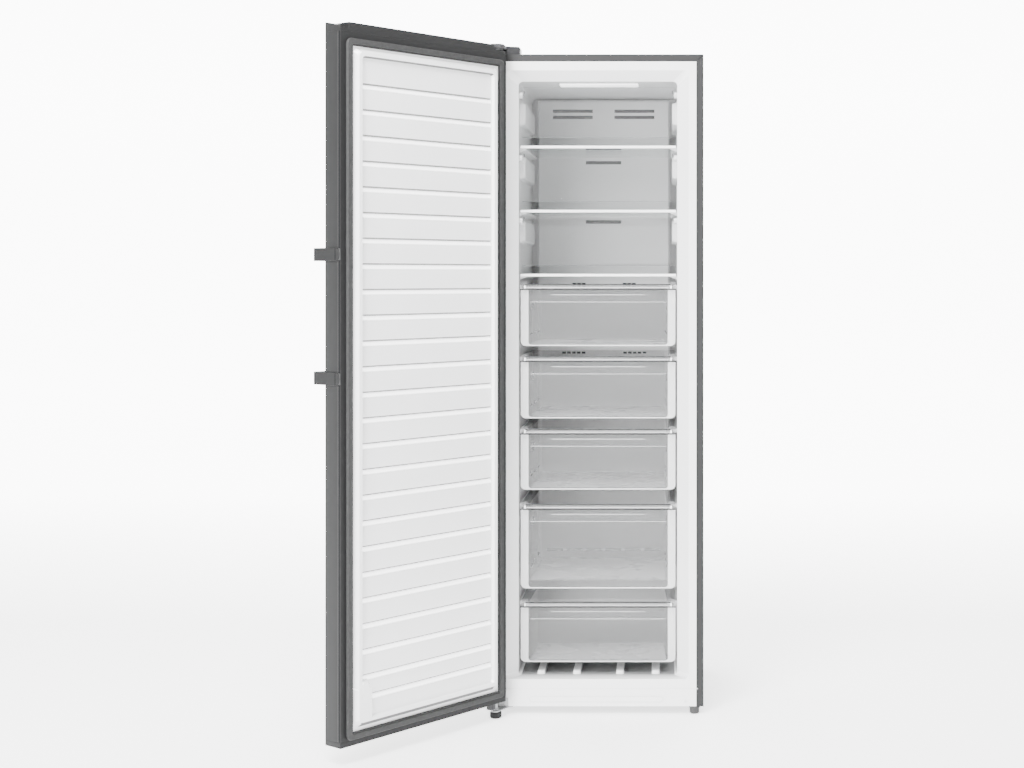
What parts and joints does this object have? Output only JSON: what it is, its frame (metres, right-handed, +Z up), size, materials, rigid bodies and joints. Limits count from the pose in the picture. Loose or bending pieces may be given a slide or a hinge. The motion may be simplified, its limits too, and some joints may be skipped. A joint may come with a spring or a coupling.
{
  "type": "upright freezer",
  "caption": "Tall single-door upright freezer, door swung open on its left hinges, white ribbed inside with glass shelves, clear tilting flaps and clear pull-out drawers.",
  "frame": {"origin": "middle of the footprint's bounding box, on the floor, door open as pictured", "axes": "+X to the right seen from the front, +Y to the back, +Z up"},
  "size_m": [0.998, 1.0902, 1.873],
  "materials": {
    "grey_steel": "satin",
    "zinc_steel": "satin",
    "black_steel": "satin",
    "aluminium": "satin",
    "copper": "satin",
    "white_plastic": "satin",
    "clear_plastic": "gloss",
    "glass": "gloss",
    "foam": "matte",
    "rubber": "matte",
    "black_plastic": "matte"
  },
  "bodies": {
    "cabinet": {"outer_case": "grey_steel", "rear_panel": "zinc_steel", "insulation_foam": "foam", "inner_liner": "white_plastic", "base_pan": "zinc_steel", "front_rail": "zinc_steel", "kick_panel": "white_plastic", "evaporator_cover": "white_plastic", "evaporator": "aluminium", "defrost_heater": "zinc_steel", "fan_housing": "black_plastic", "fan_motor": "zinc_steel", "drain_tube": "black_plastic", "evaporation_tray": "black_plastic", "compressor": "black_steel", "relay_box": "black_plastic", "filter_drier": "copper", "discharge_pipe": "copper", "suction_pipe": "copper", "compressor_cover": "zinc_steel", "light_bar": "white_plastic", "glass_shelf_1": "glass", "glass_shelf_2": "glass", "glass_shelf_3": "glass", "shelf_trim_1": "white_plastic", "shelf_trim_2": "white_plastic", "shelf_trim_3": "white_plastic", "upper_hinge_bracket": "zinc_steel", "upper_hinge_cover": "black_plastic", "lower_hinge_bracket": "zinc_steel"},
    "door": {"door_outer_skin": "grey_steel", "door_foam": "foam", "door_liner": "white_plastic", "door_gasket": "rubber", "door_top_cap": "black_plastic", "door_bottom_cap": "black_plastic", "hinge_bush_upper": "white_plastic", "hinge_bush_lower": "white_plastic", "door_stop": "black_plastic", "handle_bracket_lower": "grey_steel", "handle_bracket_upper": "grey_steel", "handle_bar": "grey_steel"},
    "flap_1": {"flap_1": "clear_plastic"},
    "flap_2": {"flap_2": "clear_plastic"},
    "flap_3": {"flap_3": "clear_plastic"},
    "drawer_1": {"drawer_1_bin": "clear_plastic", "drawer_1_front": "clear_plastic"},
    "drawer_2": {"drawer_2_bin": "clear_plastic", "drawer_2_front": "clear_plastic"},
    "drawer_3": {"drawer_3_bin": "clear_plastic", "drawer_3_front": "clear_plastic"},
    "drawer_4": {"drawer_4_bin": "clear_plastic", "drawer_4_front": "clear_plastic"},
    "drawer_5": {"drawer_5_bin": "clear_plastic", "drawer_5_front": "clear_plastic"},
    "fan": {"fan_blade": "white_plastic"},
    "roller_left": {"roller_left": "black_plastic"},
    "roller_right": {"roller_right": "black_plastic"},
    "foot_left": {"foot_left": "black_plastic"},
    "foot_right": {"foot_right": "black_plastic"}
  },
  "joints": [
    {"name": "door_hinge", "type": "hinge", "parent": "cabinet", "child": "door", "pos_m": [-0.07998, -0.07437, 0.9], "axis": [0, 0, -1], "range_deg": [-128.4, 1.6]},
    {"name": "flap_1_pivot", "type": "hinge", "parent": "cabinet", "child": "flap_1", "pos_m": [0.20152, 0.01762, 1.741], "axis": [-1, 0, 0], "range_deg": [0, 85]},
    {"name": "flap_2_pivot", "type": "hinge", "parent": "cabinet", "child": "flap_2", "pos_m": [0.20152, 0.01762, 1.562], "axis": [-1, 0, 0], "range_deg": [0, 85]},
    {"name": "flap_3_pivot", "type": "hinge", "parent": "cabinet", "child": "flap_3", "pos_m": [0.20152, 0.01762, 1.384], "axis": [-1, 0, 0], "range_deg": [0, 85]},
    {"name": "drawer_1_slide", "type": "slide", "parent": "cabinet", "child": "drawer_1", "axis": [0, -1, 0], "range_m": [0, 0.3]},
    {"name": "drawer_2_slide", "type": "slide", "parent": "cabinet", "child": "drawer_2", "axis": [0, -1, 0], "range_m": [0, 0.3]},
    {"name": "drawer_3_slide", "type": "slide", "parent": "cabinet", "child": "drawer_3", "axis": [0, -1, 0], "range_m": [0, 0.3]},
    {"name": "drawer_4_slide", "type": "slide", "parent": "cabinet", "child": "drawer_4", "axis": [0, -1, 0], "range_m": [0, 0.3]},
    {"name": "drawer_5_slide", "type": "slide", "parent": "cabinet", "child": "drawer_5", "axis": [0, -1, 0], "range_m": [0, 0.17]},
    {"name": "fan_spin", "type": "hinge", "parent": "cabinet", "child": "fan", "pos_m": [0.20152, 0.445, 1.655], "axis": [0, 1, 0], "continuous": true},
    {"name": "roller_left_spin", "type": "hinge", "parent": "cabinet", "child": "roller_left", "pos_m": [-0.04848, 0.50113, 0.015], "axis": [1, 0, 0], "continuous": true},
    {"name": "roller_right_spin", "type": "hinge", "parent": "cabinet", "child": "roller_right", "pos_m": [0.45152, 0.50113, 0.015], "axis": [1, 0, 0], "continuous": true},
    {"name": "foot_left_thread", "type": "hinge", "parent": "cabinet", "child": "foot_left", "pos_m": [-0.07998, -0.07437, 0.01], "axis": [0, 0, 1], "continuous": true},
    {"name": "foot_right_thread", "type": "hinge", "parent": "cabinet", "child": "foot_right", "pos_m": [0.47352, -0.02488, 0.01], "axis": [0, 0, 1], "continuous": true}
  ]
}
